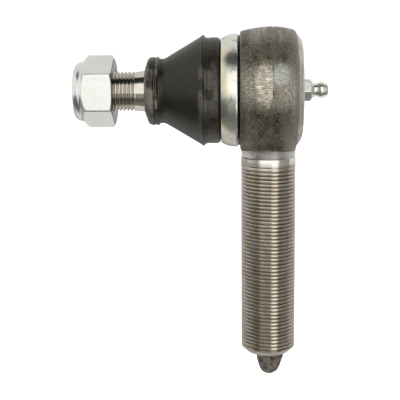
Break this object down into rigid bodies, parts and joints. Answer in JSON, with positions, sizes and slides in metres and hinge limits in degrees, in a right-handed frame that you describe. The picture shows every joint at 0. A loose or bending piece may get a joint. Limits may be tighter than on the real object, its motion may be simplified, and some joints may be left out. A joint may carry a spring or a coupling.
{
  "type": "tie rod end",
  "caption": "Steering ball joint: forged socket head on a threaded shank, with a swivelling ball stud, rubber boot, lock nut and grease nipple.",
  "frame": {"origin": "centre of the threaded shank's end face, on the shank's axis", "axes": "+Z along the shank towards the ball, +X along the stud's axis towards the grease nipple, so the stud points to -X"},
  "size_m": [0.1006, 0.0498, 0.1435],
  "materials": {
    "forged_steel": "dark forged scale, lightly abraded, with a machined threaded shank",
    "machined_steel": "bright turned and rolled",
    "zinc_plated_steel": "clear passivated zinc plate, satin",
    "spring_steel": "oiled dark spring steel",
    "black_rubber": "matte moulded rubber",
    "seat_nylon": "natural moulded nylon",
    "insert_nylon": "white nylon"
  },
  "bodies": {
    "housing": {"forged_housing": "forged_steel", "front_ball_seat": "seat_nylon", "preload_disc_spring": "spring_steel", "end_cap": "zinc_plated_steel", "cap_seal_ring": "black_rubber", "grease_nipple_body": "zinc_plated_steel", "nipple_check_spring": "spring_steel", "boot_retaining_ring": "zinc_plated_steel"},
    "rear_seat": {"rear_ball_seat": "seat_nylon"},
    "check_ball": {"nipple_check_ball": "machined_steel"},
    "boot": {"dust_boot": "black_rubber"},
    "boot_neck": {"boot_neck_clip": "spring_steel"},
    "stud": {"ball_stud": "machined_steel"},
    "nut_insert": {"nut_nylon_insert": "insert_nylon"},
    "nut": {"lock_nut": "zinc_plated_steel"}
  },
  "joints": [
    {"name": "swing_direction", "type": "hinge", "parent": "housing", "child": "boot", "pos_m": [0, 0, 0.108], "axis": [-1, 0, 0], "continuous": true},
    {"name": "stud_swing", "type": "hinge", "parent": "boot", "child": "boot_neck", "pos_m": [0, 0, 0.108], "axis": [0, 1, 0], "range_deg": [-22, 22], "deforming": ["dust_boot"]},
    {"name": "stud_spin", "type": "hinge", "parent": "boot_neck", "child": "stud", "pos_m": [0, 0, 0.108], "axis": [-1, 0, 0], "continuous": true},
    {"name": "nut_travel", "type": "slide", "parent": "stud", "child": "nut_insert", "axis": [1, 0, 0], "range_m": [-0.0135, 0.0065]},
    {"name": "nut_turn", "type": "hinge", "parent": "nut_insert", "child": "nut", "pos_m": [0, 0, 0.108], "axis": [1, 0, 0], "range_deg": [-3240, 1560]},
    {"name": "rear_seat_take_up", "type": "slide", "parent": "housing", "child": "rear_seat", "axis": [1, 0, 0], "range_m": [0, 0.0006], "stiffness_N_per_m": 4000, "springref_m": -0.01, "deforming": ["preload_disc_spring"]},
    {"name": "check_ball_lift", "type": "slide", "parent": "housing", "child": "check_ball", "axis": [-1, 0, 0], "range_m": [0, 0.0008], "stiffness_N_per_m": 100, "springref_m": -0.001, "deforming": ["nipple_check_spring"]}
  ],
  "couplings": [
    {"joint": "nut_turn", "follows": "nut_travel", "rad_per_m": 4188.8}
  ]
}
